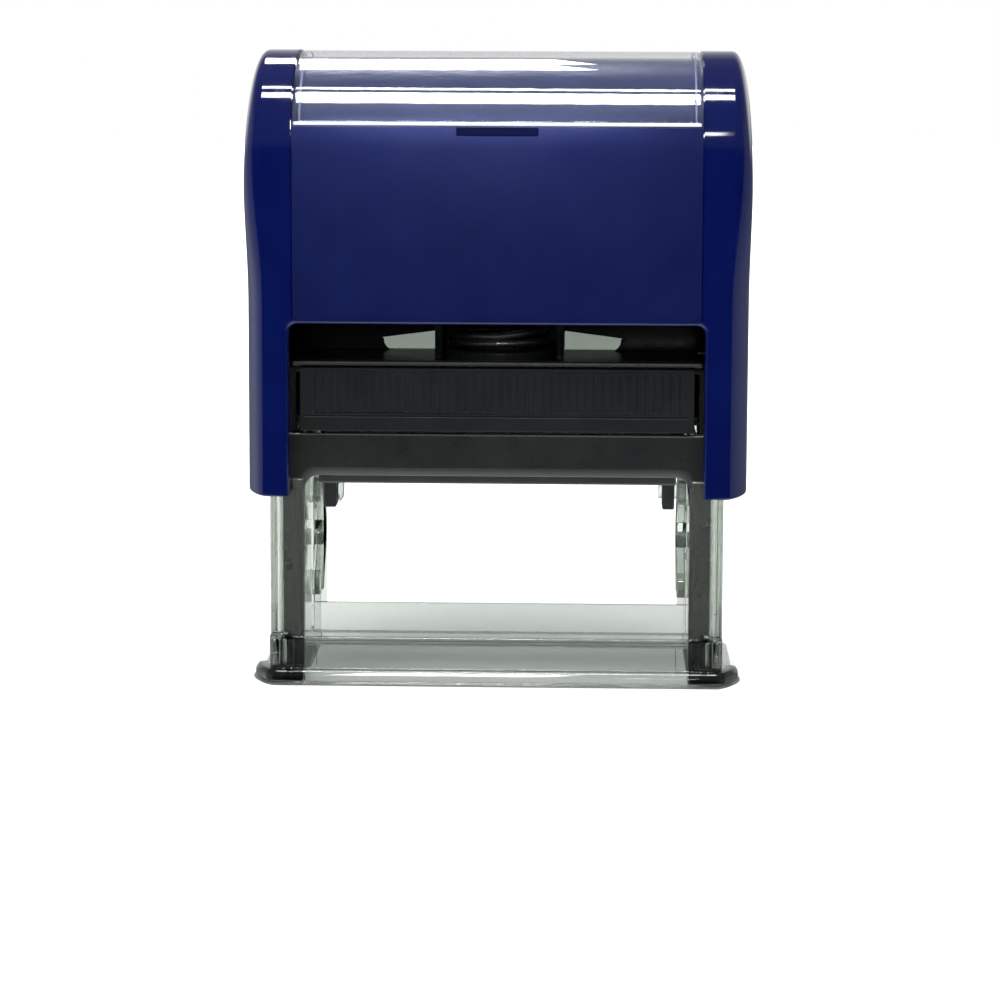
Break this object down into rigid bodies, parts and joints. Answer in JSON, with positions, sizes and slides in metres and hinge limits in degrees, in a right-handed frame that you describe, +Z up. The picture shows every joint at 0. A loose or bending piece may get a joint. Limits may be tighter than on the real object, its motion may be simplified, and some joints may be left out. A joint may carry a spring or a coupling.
{
  "type": "self-inking stamp",
  "caption": "Self-inking stamp: sprung cap over a clear base, with a die that turns over from an ink pad to the paper, and a clear index window on top.",
  "frame": {"origin": "on the floor, under the middle of the stamp", "axes": "+Z up along the press, +X to the right along the width, front towards -Y"},
  "size_m": [0.084, 0.041, 0.1051],
  "materials": {
    "blue_plastic": "glossy moulded cheeks with a fine matt front panel",
    "black_plastic": "satin moulding",
    "tray_plastic": "satin moulding with fine grip ribs",
    "smoked_clear": "lightly smoked clear moulding, glossy",
    "clear_window": "clear glossy cover",
    "clear_pin": "natural clear plastic",
    "spring_steel": "drawn spring wire, darkened",
    "pin_steel": "ground pin",
    "inked_felt": "felt soaked in blue ink",
    "die_foam": "fine foam sheet",
    "die_rubber": "engraved rubber, matt"
  },
  "bodies": {
    "base": {"base_skirt": "smoked_clear", "front_arch": "black_plastic", "pad_housing": "black_plastic", "spring_tower": "black_plastic", "return_spring": "spring_steel"},
    "cap": {"cap_shell": "blue_plastic", "spring_yoke": "black_plastic", "left_axle_bracket": "black_plastic", "right_axle_bracket": "black_plastic", "left_axle_pin": "pin_steel", "right_axle_pin": "pin_steel"},
    "die": {"die_carrier": "black_plastic", "die_cushion": "die_foam", "rubber_die": "die_rubber", "left_cam_pin": "clear_pin", "right_cam_pin": "clear_pin"},
    "pad": {"pad_tray": "tray_plastic", "ink_pad": "inked_felt"},
    "window": {"index_window": "clear_window"},
    "left_button": {"left_lock_button": "blue_plastic"},
    "right_button": {"right_lock_button": "blue_plastic"}
  },
  "joints": [
    {"name": "cap_press", "type": "slide", "parent": "base", "child": "cap", "axis": [0, 0, -1], "range_m": [0, 0.0281], "stiffness_N_per_m": 600, "springref_m": -0.007, "deforming": ["return_spring"]},
    {"name": "die_flip", "type": "hinge", "parent": "cap", "child": "die", "pos_m": [0, 0, 0.0366], "axis": [1, 0, 0], "range_deg": [0, 180]},
    {"name": "pad_slide", "type": "slide", "parent": "base", "child": "pad", "axis": [0, 1, 0], "range_m": [-0.04, 0]},
    {"name": "window_lift", "type": "slide", "parent": "cap", "child": "window", "axis": [0, 0, 1], "range_m": [0, 0.03]},
    {"name": "left_lock_press", "type": "slide", "parent": "cap", "child": "left_button", "axis": [1, 0, 0], "range_m": [0, 0.0011], "stiffness_N_per_m": 300, "springref_m": -0.001},
    {"name": "right_lock_press", "type": "slide", "parent": "cap", "child": "right_button", "axis": [-1, 0, 0], "range_m": [0, 0.0011], "stiffness_N_per_m": 300, "springref_m": -0.001}
  ],
  "couplings": [
    {"joint": "die_flip", "follows": "cap_press", "rad_per_m": 111.8}
  ]
}
